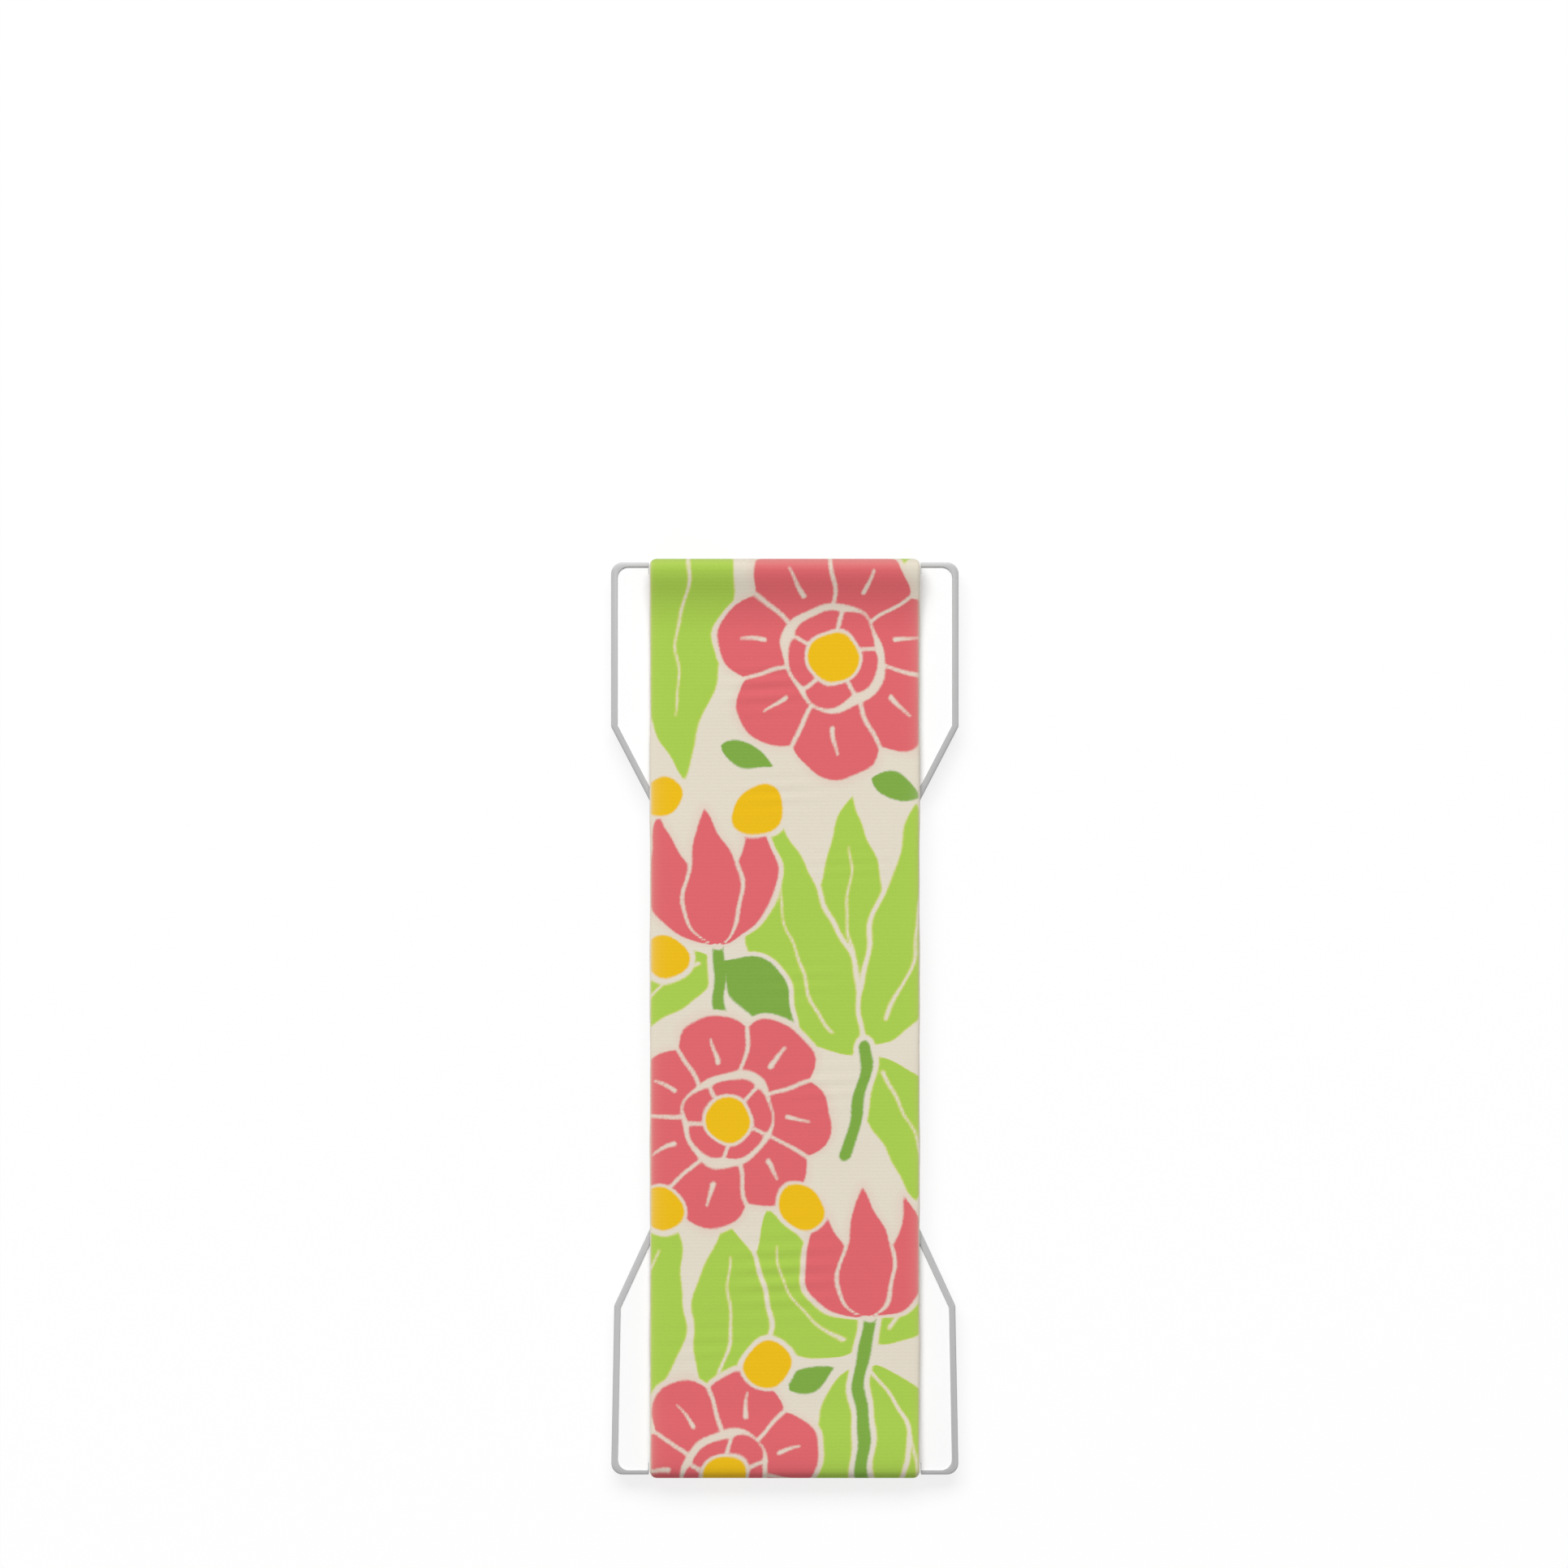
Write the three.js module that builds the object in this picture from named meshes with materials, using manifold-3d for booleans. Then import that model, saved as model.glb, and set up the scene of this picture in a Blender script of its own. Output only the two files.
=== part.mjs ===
// Phone finger strap: an hourglass plate stuck to the back of a phone, with an elastic band folded round its ends.
// Millimetres. X runs across the strap, Y along it and Z away from the phone.
// The origin is on the adhesive face, under the middle of the strap.

import * as THREE from 'three';
import { mergeVertices } from 'three/addons/utils/BufferGeometryUtils.js';
import Module from 'manifold-3d';

const wasm = await Module();
wasm.setup();

// Plate outline, seen from the front
const plateLength = 100.8;
const plateWidth = 38.4;
const lowerTaperWidth = 37.7; // across the lower wing where its taper begins
const waistWidth = 22;
const upperWingLength = 18.15;
const lowerWingLength = 18.65;
const upperTaperLength = 15.75;
const lowerTaperLength = 16.9;
const cornerRadius = 1.25;
const wingBreakRadius = 0.6;
const waistRadius = 12;

// Plate section
const plateWeb = 0.8; // plastic left between the tail pockets and the face
const rimHeight = 0.15;
const rimWidth = 0.7;
const endRimWidth = 0.5;
const rimCornerRadius = 1.2; // inside the rim
const edgeRadius = 0.25;

// Band
const bandWidth = 29.9;
const bandThickness = 0.8;
const bandOverhang = 0.4; // how far the band stands past each end of the plate
const bandSlack = 0.3; // air between the band and the plate's face
const bandSideClearance = 0.1;
const tailLength = 18;
const tapeThickness = 0.15;
const tapeInset = 0.5;
const tapeSetback = 0.25; // from the fold to the tape's end, and from the tape to the tail's end

// Folds of the band, measured along its middle layer
const foldReach = 1.1; // from where a tail starts to turn up to the end of the fold
const foldClearance = 0.2;
const upperFoldHeight = 1.3; // from the tail up to the fold's furthest point
const upperCrestReach = 0.7;
const upperCrestRise = 1.3; // how far the loose fold stands above the band's flat run
const upperSettleLength = 7.5;
const lowerFoldHeight = 1.05;
const lowerCrestReach = 3;
const lowerCrestRise = 0.1;
const lowerSettleLength = 5;

// Adhesive pad
const padThickness = 0.6;
const padInset = 1.5;

// Facets
const arcSteps = 4;
const edgeSteps = 2;
const foldSteps = 8;

// Levels and lengths that follow from the sizes above
const pocketDepth = bandThickness + tapeThickness;
const pocketCeiling = padThickness + pocketDepth;
const faceLevel = pocketCeiling + plateWeb;
const tailLevel = padThickness + bandThickness / 2;
const frontLevel = faceLevel + bandSlack + bandThickness / 2;
const foldEnd = plateLength / 2 + bandOverhang - bandThickness / 2;
const tailStart = foldEnd - foldReach;
const tailEnd = tailStart - tailLength;
const notchFloor = tailStart - foldClearance;
const notchHalfWidth = bandWidth / 2 + bandSideClearance;

// Corners of the hourglass, anticlockwise from the lower right, each with its radius
function hourglassCorners(endRadius = cornerRadius) {
  const end = plateLength / 2;
  const right = [
    [plateWidth / 2, -end, endRadius],
    [lowerTaperWidth / 2, -end + lowerWingLength, wingBreakRadius],
    [waistWidth / 2, -end + lowerWingLength + lowerTaperLength, waistRadius],
    [waistWidth / 2, end - upperWingLength - upperTaperLength, waistRadius],
    [plateWidth / 2, end - upperWingLength, wingBreakRadius],
    [plateWidth / 2, end, endRadius],
  ];
  const left = right.map(([x, y, radius]) => [-x, y, radius]).reverse();
  return [...right, ...left];
}

function cross(a, b) {
  return a.x * b.y - a.y * b.x;
}

// Moves every side of an outline inwards: the two ends by endInset and the other sides by sideInset
function insetCorners(corners, sideInset, endInset) {
  const count = corners.length;
  const points = corners.map(([x, y]) => new THREE.Vector2(x, y));
  return corners.map(([, , radius], i) => {
    const before = points[i].clone().sub(points[(i + count - 1) % count]).normalize();
    const after = points[(i + 1) % count].clone().sub(points[i]).normalize();
    const [insetBefore, insetAfter] = [before, after].map((side) => (side.y === 0 ? endInset : sideInset));
    const turn = cross(before, after);
    const moved = points[i].clone();
    moved.addScaledVector(after, insetBefore / turn);
    moved.addScaledVector(before, -insetAfter / turn);
    const smallest = Math.min(insetBefore, insetAfter);
    const newRadius = turn > 0 ? Math.max(radius - smallest, radius / 4) : radius + smallest;
    return [moved.x, moved.y, newRadius];
  });
}

// A shape whose corners are arcs that touch both sides
function roundedShape(corners) {
  const count = corners.length;
  const shape = new THREE.Shape();
  const points = corners.map(([x, y]) => new THREE.Vector2(x, y));
  corners.forEach(([, , radius], i) => {
    const corner = points[i];
    const toBefore = points[(i + count - 1) % count].clone().sub(corner).normalize();
    const toAfter = points[(i + 1) % count].clone().sub(corner).normalize();
    const halfAngle = Math.acos(toBefore.dot(toAfter)) / 2;
    const reach = radius / Math.tan(halfAngle);
    const start = corner.clone().addScaledVector(toBefore, reach);
    const end = corner.clone().addScaledVector(toAfter, reach);
    const inward = toBefore.clone().add(toAfter).normalize();
    const centre = corner.clone().addScaledVector(inward, radius / Math.sin(halfAngle));
    const startAngle = start.sub(centre).angle();
    const endAngle = end.sub(centre).angle();
    shape.absarc(centre.x, centre.y, radius, startAngle, endAngle, cross(toBefore, toAfter) > 0);
  });
  shape.closePath();
  return shape;
}

function extruded(shape, bottom, top, round = 0) {
  const geometry = new THREE.ExtrudeGeometry(shape, {
    depth: top - bottom - 2 * round,
    bevelEnabled: round > 0,
    bevelThickness: round,
    bevelSize: round,
    bevelOffset: -round,
    bevelSegments: edgeSteps,
    curveSegments: arcSteps,
  });
  return geometry.translate(0, 0, bottom + round);
}

function block(x0, x1, y0, y1, z0, z1) {
  const geometry = new THREE.BoxGeometry(x1 - x0, y1 - y0, z1 - z0);
  return geometry.translate((x0 + x1) / 2, (y0 + y1) / 2, (z0 + z1) / 2);
}

function solid(geometry) {
  geometry.deleteAttribute('normal');
  geometry.deleteAttribute('uv');
  const merged = mergeVertices(geometry, 1e-5);
  return new wasm.Manifold(
    new wasm.Mesh({
      numProp: 3,
      vertProperties: new Float32Array(merged.attributes.position.array),
      triVerts: new Uint32Array(merged.index.array),
    }),
  );
}

function geometryOf(body) {
  const mesh = body.getMesh();
  const geometry = new THREE.BufferGeometry();
  geometry.setAttribute('position', new THREE.BufferAttribute(new Float32Array(mesh.vertProperties), 3));
  geometry.setIndex(new THREE.BufferAttribute(new Uint32Array(mesh.triVerts), 1));
  geometry.computeVertexNormals();
  return geometry;
}

// The moulded plate: hourglass with a raised rim, a notch in each end and a pocket under each tail
function basePlate() {
  const rimTop = faceLevel + rimHeight;
  const cutMargin = 1;
  let plate = solid(extruded(roundedShape(hourglassCorners()), padThickness, rimTop, edgeRadius));
  const faceCorners = insetCorners(hourglassCorners(rimCornerRadius + endRimWidth), rimWidth, endRimWidth);
  plate = plate.subtract(solid(extruded(roundedShape(faceCorners), faceLevel, rimTop + cutMargin)));
  for (const side of [1, -1]) {
    const outside = side * (plateLength / 2 + cutMargin);
    const notch = [side * notchFloor, outside].sort((a, b) => a - b);
    const pocket = [side * (tailEnd - foldClearance), outside].sort((a, b) => a - b);
    plate = plate.subtract(
      solid(block(-notchHalfWidth, notchHalfWidth, ...notch, 0, rimTop + cutMargin)),
    );
    plate = plate.subtract(
      solid(block(-notchHalfWidth, notchHalfWidth, ...pocket, padThickness - cutMargin, pocketCeiling)),
    );
  }
  return geometryOf(plate);
}

// The band's middle layer from the side, as (along, up): lower tail, lower fold, front run, upper fold, upper tail
function bandMiddle() {
  const roundness = 0.5523; // handle length that makes a Bezier quarter nearly elliptical
  const upperFoldLevel = tailLevel + upperFoldHeight;
  const upperCrestLevel = frontLevel + upperCrestRise;
  const upperCrest = foldEnd - upperCrestReach;
  const upperFlat = upperCrest - upperSettleLength;
  const lowerFoldLevel = tailLevel + lowerFoldHeight;
  const lowerCrestLevel = frontLevel + lowerCrestRise;
  const lowerCrest = -foldEnd + lowerCrestReach;
  const lowerFlat = lowerCrest + lowerSettleLength;
  const path = new THREE.Path();
  path.moveTo(-tailEnd, tailLevel);
  path.lineTo(-tailStart, tailLevel);
  path.bezierCurveTo(
    -tailStart - roundness * foldReach, tailLevel,
    -foldEnd, lowerFoldLevel - roundness * lowerFoldHeight,
    -foldEnd, lowerFoldLevel,
  );
  path.bezierCurveTo(
    -foldEnd, lowerFoldLevel + 0.9 * (lowerCrestLevel - lowerFoldLevel),
    lowerCrest - 0.85 * lowerCrestReach, lowerCrestLevel,
    lowerCrest, lowerCrestLevel,
  );
  path.bezierCurveTo(
    lowerCrest + 0.4 * lowerSettleLength, lowerCrestLevel,
    lowerFlat - 0.4 * lowerSettleLength, frontLevel,
    lowerFlat, frontLevel,
  );
  path.lineTo(upperFlat, frontLevel);
  path.bezierCurveTo(
    upperFlat + 0.62 * upperSettleLength, frontLevel,
    upperCrest - 0.22 * upperSettleLength, upperCrestLevel,
    upperCrest, upperCrestLevel,
  );
  path.bezierCurveTo(
    upperCrest + 0.8 * upperCrestReach, upperCrestLevel,
    foldEnd, upperFoldLevel + 0.75 * (upperCrestLevel - upperFoldLevel),
    foldEnd, upperFoldLevel,
  );
  path.bezierCurveTo(
    foldEnd, upperFoldLevel - roundness * upperFoldHeight,
    tailStart + roundness * foldReach, tailLevel,
    tailStart, tailLevel,
  );
  path.lineTo(tailEnd, tailLevel);
  return path;
}

// The elastic band: its middle layer thickened to both sides and drawn out across the width
function band() {
  const outer = [];
  const inner = [];
  for (const curve of bandMiddle().curves) {
    const steps = curve.isLineCurve ? 1 : foldSteps;
    for (let i = outer.length ? 1 : 0; i <= steps; i += 1) {
      const point = curve.getPoint(i / steps);
      const tangent = curve.getTangent(i / steps);
      const normal = new THREE.Vector2(tangent.y, -tangent.x).multiplyScalar(bandThickness / 2);
      outer.push(point.clone().sub(normal));
      inner.push(point.clone().add(normal));
    }
  }
  const section = new THREE.Shape([...outer, ...inner.reverse()]);
  const geometry = extruded(section, -bandWidth / 2, bandWidth / 2);
  const across = new THREE.Vector3(1, 0, 0);
  const along = new THREE.Vector3(0, 1, 0);
  const up = new THREE.Vector3(0, 0, 1);
  return geometry.applyMatrix4(new THREE.Matrix4().makeBasis(along, up, across));
}

// Double-sided film between a tail and the ceiling of its pocket; side is 1 for the upper end and -1 for the lower
function tailTape(side) {
  const halfWidth = bandWidth / 2 - tapeInset;
  const [from, to] = [side * (tailEnd + tapeSetback), side * (tailStart - tapeSetback)].sort((a, b) => a - b);
  return block(-halfWidth, halfWidth, from, to, pocketCeiling - tapeThickness, pocketCeiling);
}

function adhesivePad() {
  return extruded(roundedShape(insetCorners(hourglassCorners(), padInset, padInset)), 0, padThickness);
}

const strap = new THREE.Group();

function add(name, geometry, color, roughness) {
  const material = new THREE.MeshStandardMaterial({ color, roughness, metalness: 0 });
  const mesh = new THREE.Mesh(geometry, material);
  mesh.name = name;
  strap.add(mesh);
}

add('base_plate', basePlate(), 0xf4f4f3, 0.45);
add('band', band(), 0xdc676c, 0.9);
add('adhesive_pad', adhesivePad(), 0xe8e8e6, 0.85);
add('upper_tail_tape', tailTape(1), 0xd9d4c4, 0.5);
add('lower_tail_tape', tailTape(-1), 0xd9d4c4, 0.5);

export default strap;
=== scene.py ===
import bmesh
import bpy
import numpy as np
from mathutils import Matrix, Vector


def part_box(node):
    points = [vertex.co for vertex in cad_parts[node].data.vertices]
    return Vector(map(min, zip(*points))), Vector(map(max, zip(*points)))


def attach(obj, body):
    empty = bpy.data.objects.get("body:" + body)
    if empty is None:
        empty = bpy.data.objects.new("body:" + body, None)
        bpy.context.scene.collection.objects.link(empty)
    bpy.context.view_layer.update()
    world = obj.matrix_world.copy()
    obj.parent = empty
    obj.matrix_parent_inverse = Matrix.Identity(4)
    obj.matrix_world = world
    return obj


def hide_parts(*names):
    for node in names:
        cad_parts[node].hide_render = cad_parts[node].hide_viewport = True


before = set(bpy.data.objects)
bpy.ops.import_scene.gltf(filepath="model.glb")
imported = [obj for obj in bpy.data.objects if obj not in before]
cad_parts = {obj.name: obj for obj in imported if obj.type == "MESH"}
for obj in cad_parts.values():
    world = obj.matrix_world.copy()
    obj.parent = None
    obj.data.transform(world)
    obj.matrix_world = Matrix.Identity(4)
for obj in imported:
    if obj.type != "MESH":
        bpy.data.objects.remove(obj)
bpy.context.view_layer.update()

MM = 0.001  # every length below is in millimetres until it goes into a mesh

# Sizes the frame doesn't give, as the solids have them
BAND_THICKNESS = 0.8
BAND_SLACK = 0.3
RIM_HEIGHT = 0.15
TAIL_LENGTH = 18.0
FOLD_REACH = 1.1
UPPER_FOLD_HEIGHT = 1.3
UPPER_CREST_REACH = 0.7
UPPER_CREST_RISE = 1.3
UPPER_SETTLE_LENGTH = 7.5
LOWER_FOLD_HEIGHT = 1.05
LOWER_CREST_REACH = 3.0
LOWER_CREST_RISE = 0.1
LOWER_SETTLE_LENGTH = 5.0

# Grid of the band's surface
FACE_STEP = 0.24  # along and across the printed face
TAIL_STEP = 1.5
BACK_COLUMNS = 25
EDGE_COLUMNS = 7

# Surface of the band, beyond what the solid has
END_CORNER = 0.45  # rounds the corners where the band turns over the plate's ends
SIDE_MARGIN = 0.04  # keeps the waver of the band's sides inside the solid's width
EDGE_DROP = 0.10  # how far the front's long edges sink
FOLD_PAINTED_LIGHT_REACH = 0.85  # of the painted sheen and painted shade on the cloth, in from the upper fold's end
RIB_PITCH = 0.4  # weft ribs along the band
WARP_PITCH = 0.32  # warp yarns across it
YARN_GRAIN = 0.35

# The picture: its size, its scale, and where the middle of the strap lies in it
PICTURE_PIXELS = 1932
MM_PER_PIXEL = 0.08967
STRAP_MIDDLE_PIXEL = (967, 1255)
LENS = 150.0
SENSOR = 36.0


def linear(hex_colour):
    """An sRGB hex colour as linear red, green, blue and an alpha of 1."""
    parts = [int(hex_colour[i:i + 2], 16) / 255 for i in (1, 3, 5)]
    return [c / 12.92 if c <= 0.04045 else ((c + 0.055) / 1.055) ** 2.4 for c in parts] + [1.0]


def cad_box(node):
    """Lowest and highest corner of a solid, in millimetres."""
    low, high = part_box(node)
    return np.array(low) / MM, np.array(high) / MM


# Nodes

def add_node(material, kind, inputs=None, **settings):
    """Adds a node, sets its properties, and fills its inputs by name or number: a socket is linked, and
    a value is set."""
    nodes, links = material.node_tree.nodes, material.node_tree.links
    node = nodes.new(kind)
    for name, value in settings.items():
        setattr(node, name, value)
    for key, value in (inputs or {}).items():
        if isinstance(value, bpy.types.NodeSocket):
            links.new(value, node.inputs[key])
        else:
            node.inputs[key].default_value = value
    return node


def new_material(name):
    """An empty node material with its output, and the Principled shader that feeds it."""
    material = bpy.data.materials.new(name)
    material.use_nodes = True
    material.node_tree.nodes.clear()
    shader = add_node(material, "ShaderNodeBsdfPrincipled")
    add_node(material, "ShaderNodeOutputMaterial", {"Surface": shader.outputs[0]})
    return material, shader


def math(material, operation, *values):
    """The result of a Math node."""
    return add_node(material, "ShaderNodeMath", dict(enumerate(values)), operation=operation).outputs[0]


def mixed(material, factor, low, high):
    """A colour mixed from low to high by factor."""
    node = add_node(material, "ShaderNodeMix", {0: factor, 6: low, 7: high}, data_type="RGBA")
    return node.outputs[2]


def smooth_step(material, value, low, high):
    """0 below low and 1 above high, with a smooth ramp between."""
    settings = {"Value": value, "From Min": low, "From Max": high, "To Min": 0.0, "To Max": 1.0}
    node = add_node(material, "ShaderNodeMapRange", settings, interpolation_type="SMOOTHSTEP")
    return node.outputs[0]


def noise(material, vector, size_mm, detail=2.0):
    """Noise between 0 and 1 whose grains are about size_mm wide, on coordinates in metres."""
    settings = {"Vector": vector, "Scale": 1 / (size_mm * MM), "Detail": detail}
    return add_node(material, "ShaderNodeTexNoise", settings).outputs[0]


# Printed pattern of the band: each ink is a field in millimetres, above 0 inside its shapes.
# x runs across the band and y along it, both from its middle.

MOTIF_GAP = 0.7  # bare cloth left round a shape that lies over another
PETAL_GAP = 0.42

# Each blossom: centre, radius, turn in radians, number of petals
BLOSSOMS = (
    ((5.4, 40.0), 13.0, 0.25, 7),
    ((-6.2, -11.0), 11.6, 0.9, 7),
    ((-6.4, -50.4), 11.2, 0.4, 7),
)
# Each tulip: foot, tip, how far its outer petals lean out, petal width
TULIPS = (
    ((-7.6, 8.6), (-8.6, 23.4), 5.0, 6.0),
    ((9.2, -33.0), (8.8, -18.8), 4.8, 5.7),
)
# Each leaf: foot, tip, width, bend of its midrib
LIME_LEAVES = (
    ((13.4, 68.0), (13.2, 50.4), 6.4, 0.8),
    ((2.6, 70.0), (5.4, 53.0), 5.6, -0.8),
    ((-15.4, 60.0), (-16.2, 33.6), 5.4, 0.8),
    ((-7.8, 60.0), (-11.4, 26.4), 10.2, -2.0),
    ((8.4, -3.2), (7.4, 24.4), 8.2, 0.8),
    ((9.6, -3.2), (14.6, 24.0), 9.2, -2.6),
    ((7.2, -4.0), (-0.6, 21.8), 10.4, 2.6),
    ((-8.4, 7.0), (-16.2, -1.6), 7.0, -1.4),
    ((9.2, -4.6), (14.8, -19.6), 8.6, 2.0),
    ((10.0, -36.0), (16.2, -19.6), 7.2, -1.6),
    ((8.4, -36.6), (-1.8, -21.4), 10.6, 2.8),
    ((9.4, -38.6), (15.6, -57.0), 9.8, 1.8),
    ((8.2, -38.4), (4.8, -60.0), 10.4, 1.4),
    ((-15.4, -42.0), (-12.4, -22.0), 9.4, 1.8),
    ((-7.6, -41.0), (-6.8, -22.4), 8.2, -1.2),
)
GREEN_LEAVES = (
    ((-13.6, 18.4), (-14.6, 12.2), 2.6, 0.3),
    ((9.2, 26.2), (14.8, 24.6), 3.0, 0.3),
    ((-6.8, 30.6), (-1.4, 27.6), 2.8, -0.3),
    ((0.8, -41.0), (5.6, -38.4), 2.8, 0.3),
    ((-6.8, 6.6), (1.0, -3.0), 5.4, 1.0),
)
# Each stem: start, handle, end, width
STEMS = (
    ((-7.6, 8.6), (-7.4, 3.0), (-6.2, -2.0), 1.3),
    ((8.6, -3.4), (9.4, -9.0), (6.4, -15.0), 1.3),
    ((9.2, -33.2), (7.4, -42.0), (9.6, -58.0), 1.4),
)
# Each berry: centre, radius
BERRIES = (
    ((-2.8, 22.8), 2.8),
    ((-13.6, 24.2), 2.2),
    ((2.0, -20.6), 2.5),
    ((-13.4, -21.2), 2.4),
    ((-13.2, 6.6), 2.4),
    ((-1.8, -38.4), 2.6),
)


def hand_cut(x, y):
    """Shifts the plane by sums of slow sines of up to 0.3 mm, so that outlines waver as if cut by hand."""
    shift_x = 0.30 * np.sin(0.61 * y + 0.9) + 0.10 * np.sin(1.37 * y - 0.7 * x)
    shift_y = 0.30 * np.sin(0.55 * x - 0.4) + 0.10 * np.sin(1.21 * x + 0.9 * y + 2.0)
    return x + shift_x, y + shift_y


def disc(x, y, centre, radius):
    """Radius minus the distance from the centre."""
    return radius - np.hypot(x - centre[0], y - centre[1])


def along_leaf(x, y, foot, tip, bend):
    """The share of the way from foot to tip, the same held to 0..1, the length, and the distance from the
    midrib, which bows out by 4 bend times share times (1 - share)."""
    foot, tip = np.array(foot), np.array(tip)
    length = np.hypot(*(tip - foot))
    unit = (tip - foot) / length
    share = ((x - foot[0]) * unit[0] + (y - foot[1]) * unit[1]) / length
    aside = (y - foot[1]) * unit[0] - (x - foot[0]) * unit[1]
    held = np.clip(share, 0, 1)
    return share, held, length, aside - 4 * bend * held * (1 - held)


def leaf(x, y, foot, tip, width, bend, belly=0.8):
    """Half width minus the distance from the midrib; the half width follows sin(pi a^belly)^0.85."""
    share, held, length, aside = along_leaf(x, y, foot, tip, bend)
    half = 0.5 * width * np.sin(np.pi * held ** belly) ** 0.85
    return half - np.hypot(aside, (share - held) * length)


def midrib(x, y, foot, tip, bend):
    """Half width minus the distance from a line along the middle of a leaf that thins towards the tip."""
    share, held, length, aside = along_leaf(x, y, foot, tip, bend)
    start, end = 0.12, 0.8
    past = np.maximum(np.maximum(share - end, start - share), 0) * length
    return PETAL_GAP * (0.72 - 0.4 * held) - np.hypot(aside, past)


def polar(x, y, centre, turn, count):
    """Distance from the centre times 1 + 0.05 sin(2 angle + 5 turn), which makes blossoms a little uneven,
    the angle from the middle of the nearest of count equal sectors, and half a sector."""
    distance = np.hypot(x - centre[0], y - centre[1])
    sector = 2 * np.pi / count
    angle = np.arctan2(y - centre[1], x - centre[0]) - turn
    distance = distance * (1 + 0.05 * np.sin(2 * angle + 5 * turn))
    return distance, np.abs((angle + sector / 2) % sector - sector / 2), sector / 2


def petal_ring(x, y, centre, inner, outer, turn, count, notch):
    """Petals between two radii, parted by gaps of even width. Each outer end drops by notch at its sides."""
    distance, angle, half = polar(x, y, centre, turn, count)
    end = outer * (1 - notch * (angle / half) ** 2.4)
    side = distance * np.sin(half - angle) - PETAL_GAP / 2
    return np.minimum(np.minimum(end - distance, side), distance - inner)


def petal_strokes(x, y, centre, inner, outer, turn, count):
    """Half width minus the distance from a short line up the middle of each petal, thinner outwards."""
    distance, angle, _ = polar(x, y, centre, turn, count)
    share = np.clip((distance - inner) / (outer - inner), 0, 1)
    past = np.maximum(np.maximum(distance - outer, inner - distance), 0)
    return PETAL_GAP * (0.62 - 0.34 * share) - np.hypot(distance * np.sin(angle), past)


def blossom(x, y, centre, radius, turn, count):
    """A wide ring of stroked petals round a small ring of five."""
    wide = petal_ring(x, y, centre, 0.45 * radius, radius, turn, count, 0.16)
    strokes = petal_strokes(x, y, centre, 0.58 * radius, 0.8 * radius, turn, count)
    small = petal_ring(x, y, centre, 0.23 * radius, 0.405 * radius, turn + 0.5, 5, 0.1)
    return np.maximum(np.minimum(wide, -strokes), small)


def tulip(x, y, foot, tip, lean, width):
    """A pointed middle petal over two that lean out by lean."""
    foot, tip = np.array(foot), np.array(tip)
    along = tip - foot
    across = np.array([along[1], -along[0]]) / np.hypot(*along)
    flower = middle = leaf(x, y, foot, tip, width, 0.0, 0.62)
    for side in (1, -1):
        outer_tip = tip + side * lean * across - 0.05 * along
        petal = leaf(x, y, foot - 0.1 * side * across, outer_tip, 0.95 * width, -2.2 * side, 0.62)
        flower = np.maximum(flower, np.minimum(petal, -(middle + PETAL_GAP)))
    return flower


def stem(x, y, start, handle, end, width):
    """Half width minus the distance to a quadratic Bezier curve, taken as short straight pieces."""
    t = np.linspace(0, 1, 15)[:, None]
    points = (1 - t) ** 2 * np.array(start) + 2 * t * (1 - t) * np.array(handle) + t ** 2 * np.array(end)
    nearest = np.full(x.shape, np.inf)
    for a, b in zip(points[:-1], points[1:]):
        d = b - a
        share = np.clip(((x - a[0]) * d[0] + (y - a[1]) * d[1]) / (d @ d), 0, 1)
        nearest = np.minimum(nearest, np.hypot(x - a[0] - share * d[0], y - a[1] - share * d[1]))
    return width / 2 - nearest


def union(fields):
    """The greatest of the fields at each point, so all their shapes together."""
    return np.maximum.reduce(list(fields))


def layered(fields):
    """Shapes laid over each other in turn, each cutting a gap of bare cloth into those below."""
    top = fields[0]
    for field in fields[1:]:
        top = np.maximum(np.minimum(top, -(field + MOTIF_GAP)), field)
    return top


def ink_fields(x, y):
    """The four inks at points of the cloth, each knocked out under the inks that lie over it."""
    x, y = hand_cut(x, y)
    hearts = [disc(x, y, centre, 0.215 * radius) for centre, radius, _, _ in BLOSSOMS]
    yellow = union(hearts + [disc(x, y, *berry) for berry in BERRIES])
    coral = union([blossom(x, y, *b) for b in BLOSSOMS] + [tulip(x, y, *t) for t in TULIPS])
    coral = np.minimum(coral, -(yellow + MOTIF_GAP / 2))
    green = union([stem(x, y, *s) for s in STEMS] + [leaf(x, y, *g) for g in GREEN_LEAVES])
    green = np.minimum(green, -(np.maximum(coral, yellow) + MOTIF_GAP))
    leaves = [(leaf(x, y, *v), midrib(x, y, v[0], v[1], v[3])) for v in LIME_LEAVES]
    lime = layered([np.minimum(shape, -rib) for shape, rib in leaves])
    lime = np.minimum(lime, -(union([coral, yellow, green]) + MOTIF_GAP))
    return {"coral": coral, "yellow": yellow, "green": green, "lime": lime}


# Band

def bezier(start, handle_1, handle_2, end, count=60):
    """Points of a cubic Bezier curve."""
    t = np.linspace(0, 1, count)[:, None]
    ends = (1 - t) ** 3 * np.array(start) + t ** 3 * np.array(end)
    return ends + 3 * t * (1 - t) * ((1 - t) * np.array(handle_1) + t * np.array(handle_2))


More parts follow.
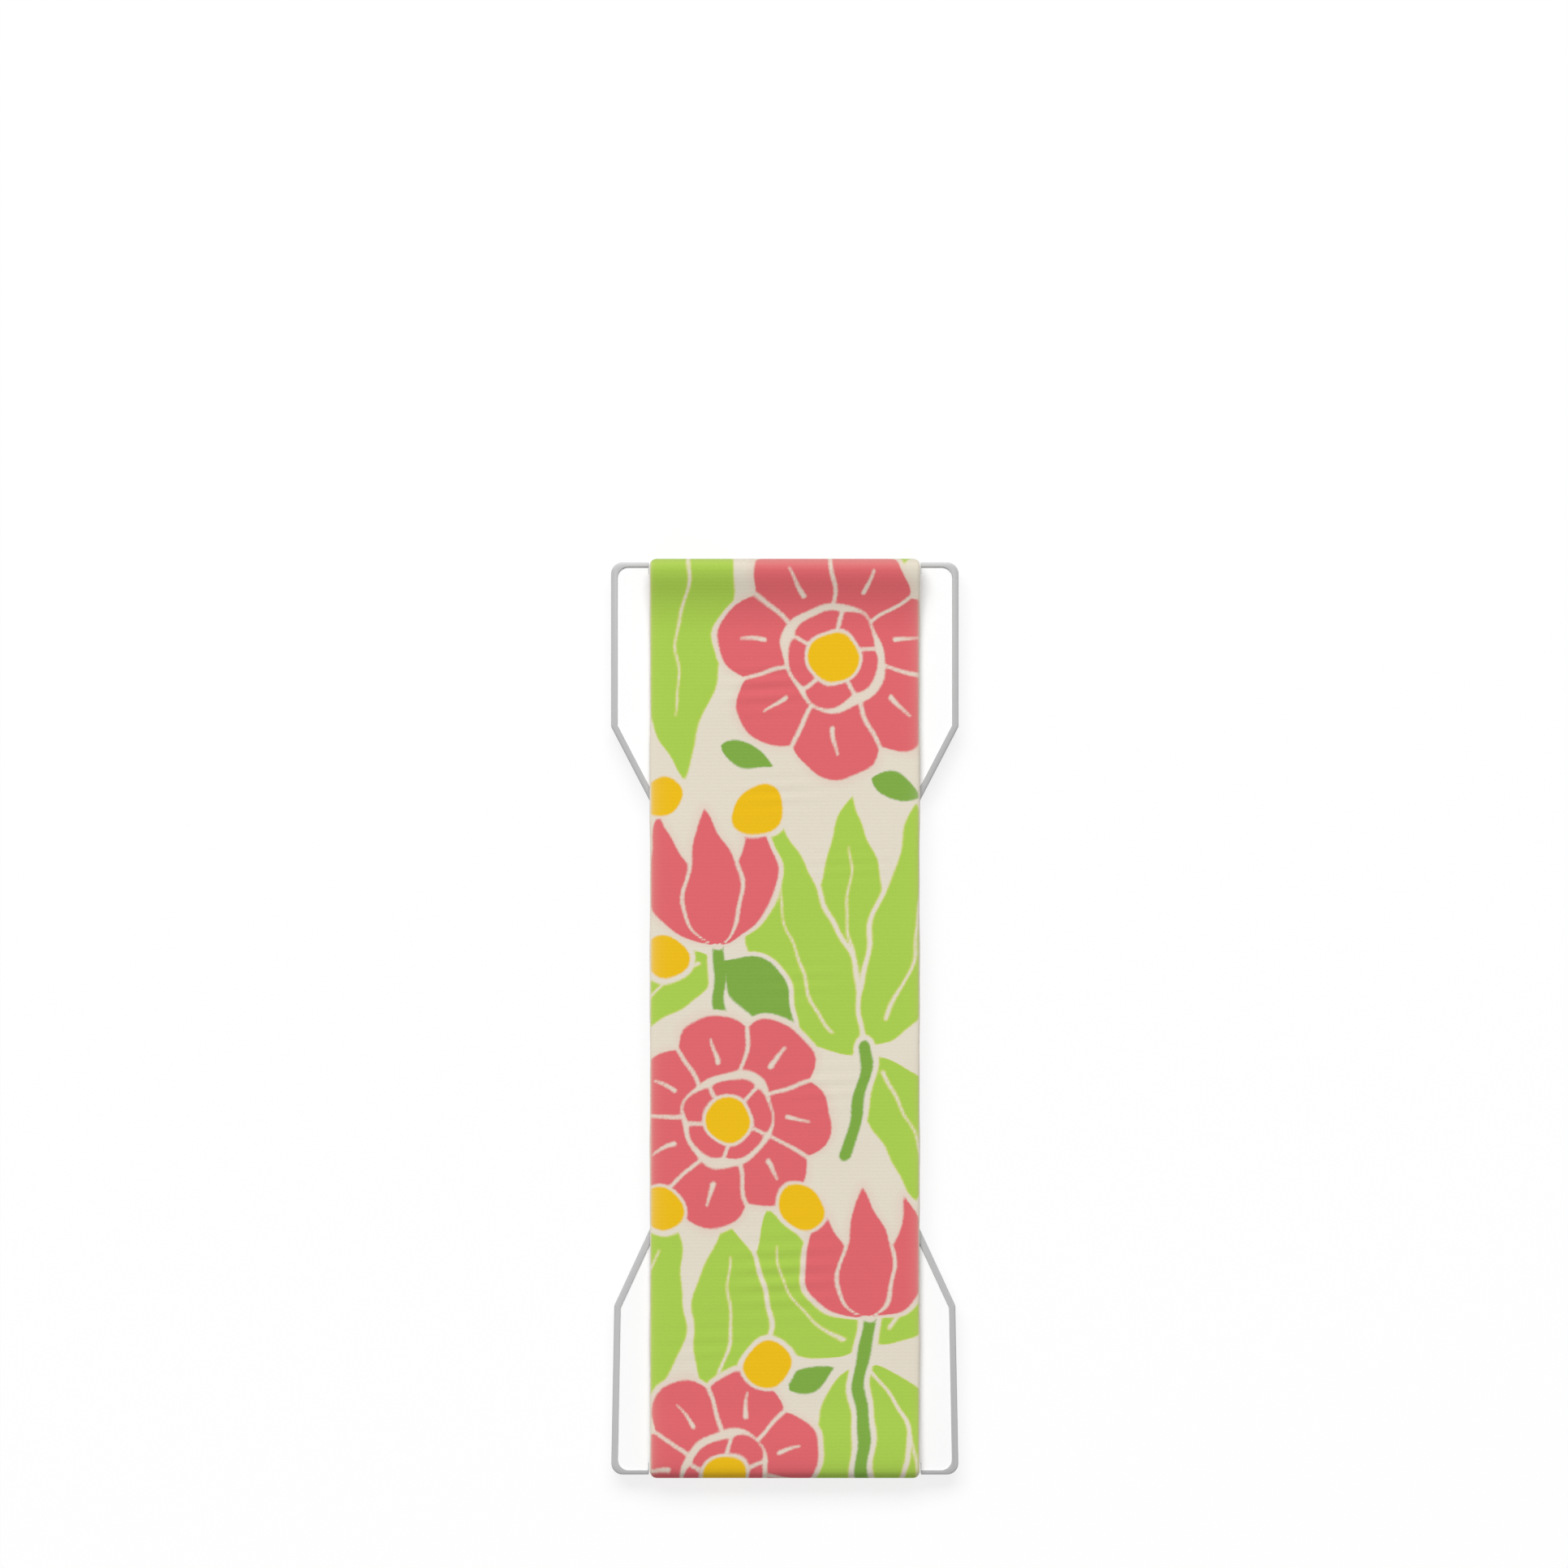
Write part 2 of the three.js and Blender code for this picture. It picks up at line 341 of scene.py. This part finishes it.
def band_middle_line():
    """The band's middle layer from the side, as (along, up): lower tail, lower fold, front, upper fold and
    upper tail. The folds are cubic Bezier curves with level or upright ends."""
    low, high = cad_box("band")
    face_level = cad_box("base_plate")[1][2] - RIM_HEIGHT
    tail = low[2] + BAND_THICKNESS / 2
    front = face_level + BAND_SLACK + BAND_THICKNESS / 2
    end = high[1] - BAND_THICKNESS / 2
    tail_start = end - FOLD_REACH
    quarter = 0.5523  # handle length of a Bezier curve that is nearly a quarter of an ellipse
    lower_level = tail + LOWER_FOLD_HEIGHT
    lower_top = front + LOWER_CREST_RISE
    lower_crest = -end + LOWER_CREST_REACH
    lower_flat = lower_crest + LOWER_SETTLE_LENGTH
    upper_level = tail + UPPER_FOLD_HEIGHT
    upper_top = front + UPPER_CREST_RISE
    upper_crest = end - UPPER_CREST_REACH
    upper_flat = upper_crest - UPPER_SETTLE_LENGTH
    pieces = [
        np.array([[-tail_start + TAIL_LENGTH, tail]]),
        bezier(
            (-tail_start, tail),
            (-tail_start - quarter * FOLD_REACH, tail),
            (-end, lower_level - quarter * LOWER_FOLD_HEIGHT),
            (-end, lower_level),
        ),
        bezier(
            (-end, lower_level),
            (-end, lower_level + 0.9 * (lower_top - lower_level)),
            (lower_crest - 0.85 * LOWER_CREST_REACH, lower_top),
            (lower_crest, lower_top),
        ),
        bezier(
            (lower_crest, lower_top),
            (lower_crest + 0.4 * LOWER_SETTLE_LENGTH, lower_top),
            (lower_flat - 0.4 * LOWER_SETTLE_LENGTH, front),
            (lower_flat, front),
        ),
        np.array([[0.0, front]]),
        bezier(
            (upper_flat, front),
            (upper_flat + 0.62 * UPPER_SETTLE_LENGTH, front),
            (upper_crest - 0.22 * UPPER_SETTLE_LENGTH, upper_top),
            (upper_crest, upper_top),
        ),
        bezier(
            (upper_crest, upper_top),
            (upper_crest + 0.8 * UPPER_CREST_REACH, upper_top),
            (end, upper_level + 0.75 * (upper_top - upper_level)),
            (end, upper_level),
        ),
        bezier(
            (end, upper_level),
            (end, upper_level - quarter * UPPER_FOLD_HEIGHT),
            (tail_start + quarter * FOLD_REACH, tail),
            (tail_start, tail),
        ),
        np.array([[tail_start - TAIL_LENGTH, tail]]),
    ]
    return np.concatenate(pieces)


def even_steps(line, fine, coarse):
    """The line resampled by its own length: steps of fine, and of coarse on both tails. Gives the points, the
    unit normals to the left of the way, and the length so far, counted from the middle of the front."""
    line = line[np.r_[True, np.hypot(*np.diff(line, axis=0).T) > 1e-6]]
    length = np.r_[0, np.cumsum(np.hypot(*np.diff(line, axis=0).T))]
    start, stop = TAIL_LENGTH, length[-1] - TAIL_LENGTH
    at = np.concatenate([
        np.linspace(0, start, int(TAIL_LENGTH / coarse), endpoint=False),
        np.linspace(start, stop, int((stop - start) / fine), endpoint=False),
        np.linspace(stop, length[-1], int(TAIL_LENGTH / coarse)),
    ])
    points = np.stack([np.interp(at, length, line[:, k]) for k in (0, 1)], 1)
    near = 0.02
    ahead = np.stack([np.interp(at + near, length, line[:, k]) for k in (0, 1)], 1)
    behind = np.stack([np.interp(at - near, length, line[:, k]) for k in (0, 1)], 1)
    tangent = ahead - behind
    tangent /= np.hypot(*tangent.T)[:, None]
    middle = length[np.abs(line[:, 0]).argmin()]
    return points, np.stack([-tangent[:, 1], tangent[:, 0]], 1), at - middle


# Shallow creases of the cloth: middle (across, along), reach across and along, pitch, depth
CREASES = (
    ((-0.4, -28.3), 3.4, 2.6, 1.9, 0.045),
    ((-2.0, 36.4), 2.6, 1.8, 1.7, 0.038),
    ((4.5, -7.5), 3.0, 1.6, 1.6, 0.018),
    ((-8.5, -36.0), 2.8, 1.6, 1.8, 0.018),
    ((-0.4, 25.0), 2.8, 1.2, 1.6, 0.020),
    ((1.6, 4.2), 2.8, 1.5, 1.7, 0.018),
    ((7.0, 17.0), 3.2, 1.4, 1.5, 0.014),
)


def cloth_relief(across, along):
    """How far the printed face stands off its smooth shape: two slow sine waves of the cloth, and shallow
    creases, each a cosine along the band that dies away from its middle as a Gaussian."""
    relief = 0.018 * np.sin(0.21 * along + 0.11 * across)
    relief += 0.012 * np.sin(0.47 * along - 0.29 * across + 1.3)
    for (x, y), reach_x, reach_y, pitch, depth in CREASES:
        dx, dy = across - x, along - y - 0.05 * (across - x)
        fade = np.exp(-0.5 * ((dx / reach_x) ** 2 + (dy / reach_y) ** 2))
        relief = relief - depth * fade * np.cos(2 * np.pi * dy / pitch)
    return relief


def band_section(half_width):
    """One round of the band's section, from the left edge over the printed face and back under it: the
    share of the half width across, the height off the middle layer, and 1 on the printed face. Its edges are
    half circles."""
    half = BAND_THICKNESS / 2
    edge = half / half_width
    count = int(2 * half_width / FACE_STEP)
    face = np.linspace(-1 + edge, 1 - edge, count)
    back = np.linspace(1 - edge, -1 + edge, BACK_COLUMNS)
    turn = np.linspace(np.pi / 2, -np.pi / 2, EDGE_COLUMNS + 2)[1:-1]
    bulge = 1 - edge + edge * np.cos(turn)
    rise = half * np.sin(turn)
    share = np.concatenate([face, bulge, back, -bulge])
    height = np.concatenate([np.full(count, half), rise, np.full(BACK_COLUMNS, -half), -rise])
    # the ink reaches a little way round the edges
    printed = (height > 0.6 * half).astype(float)
    return share, height, printed


def make_band():
    """Carries the section along the middle line: a point is the middle line plus its height times the normal.
    The half width draws in as a quarter circle at each fold's end, and wavers by two slow sines. Gives the
    band and its flat size in metres."""
    low, high = cad_box("band")
    half_width = (high[0] - low[0]) / 2
    points, normals, along = even_steps(band_middle_line(), FACE_STEP, TAIL_STEP)
    share, height, printed = band_section(half_width)
    past_corner = np.abs(points[:, 0]) + BAND_THICKNESS / 2 - (high[1] - END_CORNER)
    into_corner = np.clip(past_corner / END_CORNER, 0, 1)
    width = half_width - SIDE_MARGIN - END_CORNER * (1 - np.sqrt(1 - into_corner ** 2))
    width += 0.025 * np.sin(0.31 * along) + 0.015 * np.sin(0.87 * along + 1.0)
    across = width[:, None] * share[None, :]
    lengthwise = np.repeat(along[:, None], len(share), 1)
    inward = half_width - np.abs(across)
    # creases and sunken edges fade out before the folds, and the back creases half as much
    fold_length = 4.0
    on_front = np.clip((high[1] - fold_length - np.abs(lengthwise)) / fold_length, 0, 1)
    relief = cloth_relief(across, lengthwise) * np.where(height[None, :] > -0.1, 1, 0.5)
    sunken = EDGE_DROP * np.exp(-(inward / 0.5) ** 2)
    lift = height[None, :] + (relief - sunken) * on_front
    y = points[:, 0][:, None] + lift * normals[:, 0][:, None]
    z = points[:, 1][:, None] + lift * normals[:, 1][:, None]
    vertices = np.stack([across, y, z], -1).reshape(-1, 3)
    rows, ring = across.shape
    index = np.arange(rows * ring).reshape(rows, ring)
    here, right = index[:-1], np.roll(index[:-1], -1, 1)
    above, above_right = index[1:], np.roll(index[1:], -1, 1)
    quads = np.stack([here, right, above_right, above], -1).reshape(-1, 4)
    mesh = bpy.data.meshes.new("band_cloth")
    faces = quads.tolist() + [index[0, ::-1].tolist(), index[-1].tolist()]
    mesh.from_pydata((vertices * MM).tolist(), [], faces)
    mesh.polygons.foreach_set("use_smooth", np.ones(len(mesh.polygons), bool))

    fields = ink_fields(across, lengthwise)
    inked = np.repeat(printed[None, :], rows, 0)
    # the ink is thin along both edges; at the loose fold's end the ink is thinned as a painted sheen and the
    # cloth is darkened as painted shade
    selvedge = 1 - 0.75 * np.exp(-(inward / 0.22) ** 2) - 0.25 * np.exp(-inward / 0.5)
    upper_fold_painted_light = np.exp(-((high[1] - y) / FOLD_PAINTED_LIGHT_REACH) ** 2)
    attributes = {name: np.where(inked > 0, field, -1) for name, field in fields.items()}
    # painted sheen: the ink is thinned by up to a fifth at the upper fold's end
    attributes["ink"] = inked * selvedge * (1 - 0.2 * upper_fold_painted_light)
    # painted shade: darkens the upper fold's end, where the lamp lights it
    attributes["fold_painted_shade"] = 0.29 * upper_fold_painted_light
    for name, values in attributes.items():
        layer = mesh.attributes.new(name, "FLOAT", "POINT")
        layer.data.foreach_set("value", values.astype(np.float32).ravel())
    corners = np.zeros(len(mesh.loops), np.int32)
    mesh.loops.foreach_get("vertex_index", corners)
    flat = np.stack([across, lengthwise], -1).reshape(-1, 2)[corners] * MM
    mesh.uv_layers.new(name="cloth").data.foreach_set("uv", flat.astype(np.float32).ravel())
    mesh.update()
    band = bpy.data.objects.new("band_cloth", mesh)
    bpy.context.scene.collection.objects.link(band)
    return band, (2 * half_width * MM, float(along[-1] - along[0]) * MM)


def printed_elastic():
    """Woven polyester elastic, dye printed: dull, with fine ribs, and a soft lighter bloom where it turns
    away. The inks spread a little into the yarn, so their edges are soft, and the lime has a thin yellow
    fringe."""
    outside, inside = -0.17, 0.17  # of a field, between which an ink's edge fades
    material, shader = new_material("printed_polyester_elastic")
    cloth = add_node(material, "ShaderNodeUVMap", uv_map="cloth").outputs[0]
    split = add_node(material, "ShaderNodeSeparateXYZ", {0: cloth})
    grain = noise(material, cloth, YARN_GRAIN)
    cloud = noise(material, cloth, 9.0)
    bleed = math(material, "MULTIPLY", math(material, "SUBTRACT", grain, 0.5), 0.22)

    def field(name):
        return add_node(material, "ShaderNodeAttribute", attribute_name=name).outputs["Fac"]

    cream = math(material, "MULTIPLY", cloud, 0.6)
    colour = mixed(material, cream, linear("#DFD6C5"), linear("#E5DDCD"))
    # a faint stain of the coral dye reaches about a millimetre into the bare cloth
    stain = math(material, "MULTIPLY", smooth_step(material, field("coral"), -1.3, 0.1), 0.1)
    colour = mixed(material, stain, colour, linear("#DC646A"))
    inks = (
        ("lime", 0.1, "#CBD06A"),
        ("lime", 0.0, "#A6CA4D"),
        ("green", 0.0, "#7CA741"),
        ("coral", 0.0, "#DC646A"),
        ("yellow", 0.0, "#EABA0C"),
    )
    covered = field("ink")
    for name, spread, ink in inks:
        edge = math(material, "ADD", field(name), bleed)
        amount = smooth_step(material, edge, outside - spread, inside - spread)
        colour = mixed(material, math(material, "MULTIPLY", amount, covered), colour, linear(ink))

    def yarns(place, pitch):
        waves = math(material, "MULTIPLY", place, 2 * np.pi / (pitch * MM))
        return math(material, "SINE", waves)

    # a yarn rises where it crosses over another, so ribs times warp, and the ribs show more
    rib, warp = yarns(split.outputs[1], RIB_PITCH), yarns(split.outputs[0], WARP_PITCH)
    crossings = math(material, "MULTIPLY", rib, warp)
    weave = math(material, "MULTIPLY_ADD", rib, 0.5, crossings)
    speckle = math(material, "MULTIPLY_ADD", grain, 0.05, 0.985 - 0.025)
    shade = math(material, "MULTIPLY_ADD", weave, 0.006, speckle)
    # painted shade at the upper fold's end, taken off the cloth's brightness
    shade = math(material, "SUBTRACT", shade, field("fold_painted_shade"))
    scaled = {0: colour, "Scale": shade}
    tinted = add_node(material, "ShaderNodeVectorMath", scaled, operation="SCALE").outputs[0]
    height = math(material, "MULTIPLY_ADD", grain, 0.8, weave)
    relief = {"Height": height, "Strength": 0.3, "Distance": 0.010 * MM}
    bump = add_node(material, "ShaderNodeBump", relief)
    material.node_tree.links.new(tinted, shader.inputs["Base Color"])
    material.node_tree.links.new(bump.outputs[0], shader.inputs["Normal"])
    shader.inputs["Roughness"].default_value = 0.88
    shader.inputs["Specular IOR Level"].default_value = 0.25
    shader.inputs["Sheen Weight"].default_value = 0.2
    shader.inputs["Sheen Roughness"].default_value = 0.35
    return material


# Plate, pad and tapes

def merged_copy(node, name):
    """A new piece from a solid's triangles: corners joined, flat areas made single faces, and edges that turn
    by more than 30 degrees kept sharp."""
    sharp_turn = np.radians(30)
    piece = bpy.data.objects.new(name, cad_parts[node].data.copy())
    bpy.context.scene.collection.objects.link(piece)
    shape = bmesh.new()
    shape.from_mesh(piece.data)
    bmesh.ops.remove_doubles(shape, verts=shape.verts, dist=0.001 * MM)
    bmesh.ops.dissolve_limit(shape, angle_limit=0.002, verts=shape.verts, edges=shape.edges)
    for edge in shape.edges:
        edge.smooth = edge.calc_face_angle(0.0) < sharp_turn
    for face in shape.faces:
        face.smooth = True
    shape.to_mesh(piece.data)
    shape.free()
    piece.data.materials.clear()
    return piece


def soften(piece, width_mm):
    """Rounds a piece's edges that turn by more than 40 degrees."""
    bevel = piece.modifiers.new("worn_edges", "BEVEL")
    bevel.width = width_mm * MM
    bevel.segments = 2
    bevel.limit_method = "ANGLE"
    bevel.angle_limit = np.radians(40)
    bevel.harden_normals = True


def moulded_abs(name, colour, shade):
    """Injection-moulded ABS from a spark-finished tool: satin, with a very fine even grain."""
    material, shader = new_material(name)
    place = add_node(material, "ShaderNodeTexCoord").outputs["Object"]
    grain = noise(material, place, 0.12)
    cloud = noise(material, place, 14.0)
    # the moulding's colour drifts by a few levels over centimetres
    tint = mixed(material, cloud, linear(shade), linear(colour))
    rough = math(material, "MULTIPLY_ADD", grain, 0.12, 0.42)
    bump = add_node(material, "ShaderNodeBump", {"Height": grain, "Strength": 0.25, "Distance": 0.006 * MM})
    material.node_tree.links.new(tint, shader.inputs["Base Color"])
    material.node_tree.links.new(rough, shader.inputs["Roughness"])
    material.node_tree.links.new(bump.outputs[0], shader.inputs["Normal"])
    return material


def make_plate():
    """The moulding in its two finishes: faces at the level of the recessed face are white, and the rest is
    grey."""
    plate = merged_copy("base_plate", "plate_moulding")
    face_level = (cad_box("base_plate")[1][2] - RIM_HEIGHT) * MM
    plate.data.materials.append(moulded_abs("grey_abs_rim", "#B7B7B7", "#B3B3B3"))
    plate.data.materials.append(moulded_abs("white_abs_face", "#FAFAFA", "#F7F7F7"))
    for face in plate.data.polygons:
        level = abs(face.center.z - face_level) < 0.02 * MM and face.normal.z > 0.9
        face.material_index = 1 if level else 0
    soften(plate, 0.04)
    return plate


def foam_tape():
    """Closed-cell acrylic foam tape, die cut: dull off-white, with cells 0.2 mm wide on its cut edge."""
    material, shader = new_material("acrylic_foam_tape")
    place = add_node(material, "ShaderNodeTexCoord").outputs["Object"]
    cell_size = {"Vector": place, "Scale": 1 / (0.22 * MM)}
    cells = add_node(material, "ShaderNodeTexVoronoi", cell_size).outputs["Distance"]
    tint = mixed(material, cells, linear("#DCDCD8"), linear("#E9E9E6"))
    rough = math(material, "MULTIPLY_ADD", cells, 0.15, 0.6)
    bump = add_node(material, "ShaderNodeBump", {"Height": cells, "Strength": 0.5, "Distance": 0.03 * MM})
    material.node_tree.links.new(tint, shader.inputs["Base Color"])
    material.node_tree.links.new(rough, shader.inputs["Roughness"])
    material.node_tree.links.new(bump.outputs[0], shader.inputs["Normal"])
    return material


def polyester_film():
    """Double-sided tape of thin polyester film: smooth, slightly yellow, with faint adhesive streaks."""
    material, shader = new_material("polyester_film_tape")
    place = add_node(material, "ShaderNodeTexCoord").outputs["Object"]
    streaks = noise(material, place, 1.5, 4.0)
    tint = mixed(material, streaks, linear("#D6CFBC"), linear("#E2DDCF"))
    material.node_tree.links.new(tint, shader.inputs["Base Color"])
    shader.inputs["Roughness"].default_value = 0.35
    return material


# Surroundings

def seen_directly(material):
    """1 for rays from the camera and for those mirrored or let through, and 0 for light off dull things."""
    path = add_node(material, "ShaderNodeLightPath").outputs
    either = math(material, "MAXIMUM", path["Is Camera Ray"], path["Is Glossy Ray"])
    return math(material, "MAXIMUM", either, path["Is Transmission Ray"])


def make_floor():
    """A plain white table top. Where it is seen directly, most of its white is its own, so the shadow on it
    is light."""
    own_white = 0.8
    reach = 1500 * MM
    level = -0.02 * MM  # just clear of the pad's face
    mesh = bpy.data.meshes.new("floor")
    corners = [(x * reach, y * reach, level) for x, y in ((-1, -1), (1, -1), (1, 1), (-1, 1))]
    mesh.from_pydata(corners, [], [(0, 1, 2, 3)])
    floor = bpy.data.objects.new("floor", mesh)
    bpy.context.scene.collection.objects.link(floor)
    material, shader = new_material("pale_floor")
    shader.inputs["Base Color"].default_value = linear("#FCFCFC")
    shader.inputs["Roughness"].default_value = 1.0
    shader.inputs["Specular IOR Level"].default_value = 0.0
    white = add_node(material, "ShaderNodeEmission", {"Color": linear("#FFFFFF"), "Strength": 1.0})
    share = math(material, "MULTIPLY", seen_directly(material), own_white)
    shades = {0: share, 1: shader.outputs[0], 2: white.outputs[0]}
    blend = add_node(material, "ShaderNodeMixShader", shades)
    output = material.node_tree.get_output_node("ALL")
    material.node_tree.links.new(blend.outputs[0], output.inputs["Surface"])
    mesh.materials.append(material)


def make_light():
    """Soft even light from all round, and one large soft lamp beyond the strap's upper end. Together they
    show a level surface at about its own colour."""
    around, background_white = [0.31, 0.31, 0.31, 1], [1.0, 1.0, 1.0, 1]
    world = bpy.data.worlds.new("soft_room")
    bpy.context.scene.world = world
    world.use_nodes = True
    world.node_tree.nodes.clear()
    sky = mixed(world, seen_directly(world), around, background_white)
    background = add_node(world, "ShaderNodeBackground", {"Color": sky, "Strength": 1.0})
    add_node(world, "ShaderNodeOutputWorld", {"Surface": background.outputs[0]})
    lamp = bpy.data.lights.new("upper_lamp", "AREA")
    lamp.shape = "RECTANGLE"
    lamp.size, lamp.size_y = 3.0, 1.5
    lamp.energy = 121.0
    holder = bpy.data.objects.new("upper_lamp", lamp)
    holder.location = (-0.36, 2.25, 2.34)
    aim = -holder.location.copy()
    holder.rotation_euler = aim.to_track_quat("-Z", "Y").to_euler()
    bpy.context.scene.collection.objects.link(holder)


def make_camera():
    """Straight above, with a long lens. The picture's full width spans its millimetres at the level of the
    plate's top, where the outlines of both plate and band about lie."""
    camera = bpy.data.cameras.new("camera")
    camera.lens = LENS
    camera.sensor_width = SENSOR
    metres_per_pixel = MM_PER_PIXEL * MM
    distance = PICTURE_PIXELS * metres_per_pixel * LENS / SENSOR
    outline_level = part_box("base_plate")[1].z
    holder = bpy.data.objects.new("camera", camera)
    aside = (PICTURE_PIXELS / 2 - STRAP_MIDDLE_PIXEL[0]) * metres_per_pixel
    above = (STRAP_MIDDLE_PIXEL[1] - PICTURE_PIXELS / 2) * metres_per_pixel
    holder.location = (aside, above, outline_level + distance)
    camera.clip_start, camera.clip_end = 0.01, 10.0
    bpy.context.scene.collection.objects.link(holder)
    bpy.context.scene.camera = holder


make_camera()
make_floor()
make_light()

band, band_flat = make_band()
band.data.materials.append(printed_elastic())
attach(band, "root")
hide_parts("band")

plate = make_plate()
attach(plate, "root")
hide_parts("base_plate")

pad = merged_copy("adhesive_pad", "foam_pad")
pad.data.materials.append(foam_tape())
soften(pad, 0.1)
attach(pad, "root")
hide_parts("adhesive_pad")

film = polyester_film()
for node in ("upper_tail_tape", "lower_tail_tape"):
    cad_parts[node].data.materials.clear()
    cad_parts[node].data.materials.append(film)

bpy.context.scene.view_settings.view_transform = "Standard"
